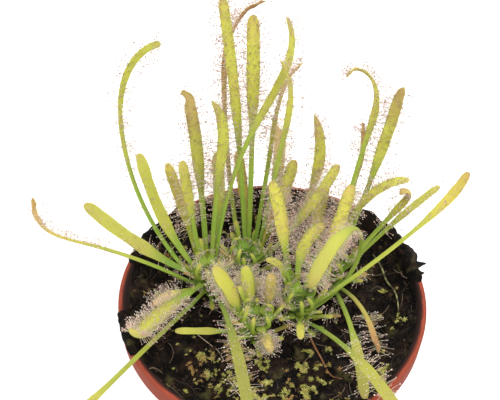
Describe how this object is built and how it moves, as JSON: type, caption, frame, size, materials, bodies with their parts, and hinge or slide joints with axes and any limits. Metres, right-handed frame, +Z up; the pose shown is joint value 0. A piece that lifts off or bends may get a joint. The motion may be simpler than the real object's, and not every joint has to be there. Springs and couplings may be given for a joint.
{
  "type": "potted sundew",
  "caption": "Strap-leaved sundew with upright and arching sticky leaves, growing in a small round plastic pot of dark peat.",
  "frame": {"origin": "middle of the pot's flat base, where it stands", "axes": "+Z up out of the pot, -Y towards the side the picture is taken from, +X to its right"},
  "size_m": [0.1237, 0.1023, 0.139],
  "materials": {
    "terracotta_plastic": "matte",
    "dark_peat": "damp, rough",
    "crown_stem": "matte",
    "leaf_green": "satin",
    "leaf_yellow": "satin",
    "leaf_orange": "satin",
    "leaf_brown": "satin"
  },
  "bodies": {
    "root": {"pot": "terracotta_plastic", "peat": "dark_peat", "left_crown": "crown_stem", "right_crown": "crown_stem", "middle_crown": "crown_stem", "back_crown": "crown_stem", "front_crown": "crown_stem", "left_hook_leaf": "leaf_green", "left_fan_leaf": "leaf_green", "left_wide_leaf": "leaf_green", "left_reach_leaf": "leaf_yellow", "left_low_leaf": "leaf_yellow", "left_cup_leaf": "leaf_green", "left_small_leaf": "leaf_orange", "left_front_leaf": "leaf_green", "left_sweep_leaf": "leaf_green", "left_tall_leaf": "leaf_green", "left_inner_leaf": "leaf_green", "left_yellow_leaf": "leaf_yellow", "left_bud_leaf": "leaf_green", "left_olive_leaf": "leaf_green", "right_curve_leaf": "leaf_green", "right_slope_leaf": "leaf_green", "right_claw_leaf": "leaf_green", "right_long_leaf": "leaf_yellow", "right_stand_leaf": "leaf_green", "right_petiole_leaf": "leaf_green", "right_stub_leaf": "leaf_green", "right_front_leaf": "leaf_green", "right_tip_leaf": "leaf_green", "middle_arch_leaf": "leaf_green", "middle_orange_leaf": "leaf_orange", "middle_fuzzy_leaf": "leaf_green", "middle_red_leaf": "leaf_brown", "middle_wide_leaf": "leaf_green", "middle_tallest_leaf": "leaf_green", "middle_thin_leaf": "leaf_brown", "middle_lean_leaf": "leaf_green", "middle_curl_leaf": "leaf_green", "middle_short_leaf": "leaf_green", "middle_cross_leaf": "leaf_green", "back_drop_leaf": "leaf_green", "back_brown_leaf": "leaf_brown", "back_hook_leaf": "leaf_green", "back_reach_leaf": "leaf_green", "back_tall_leaf": "leaf_green", "back_crook_leaf": "leaf_green", "back_pink_leaf": "leaf_orange", "back_side_leaf": "leaf_green", "back_inner_leaf": "leaf_green", "front_near_leaf": "leaf_green", "front_nearer_leaf": "leaf_green", "front_flat_leaf": "leaf_green", "front_pink_leaf": "leaf_orange", "front_fuzz_leaf": "leaf_orange"}
  },
  "joints": []
}
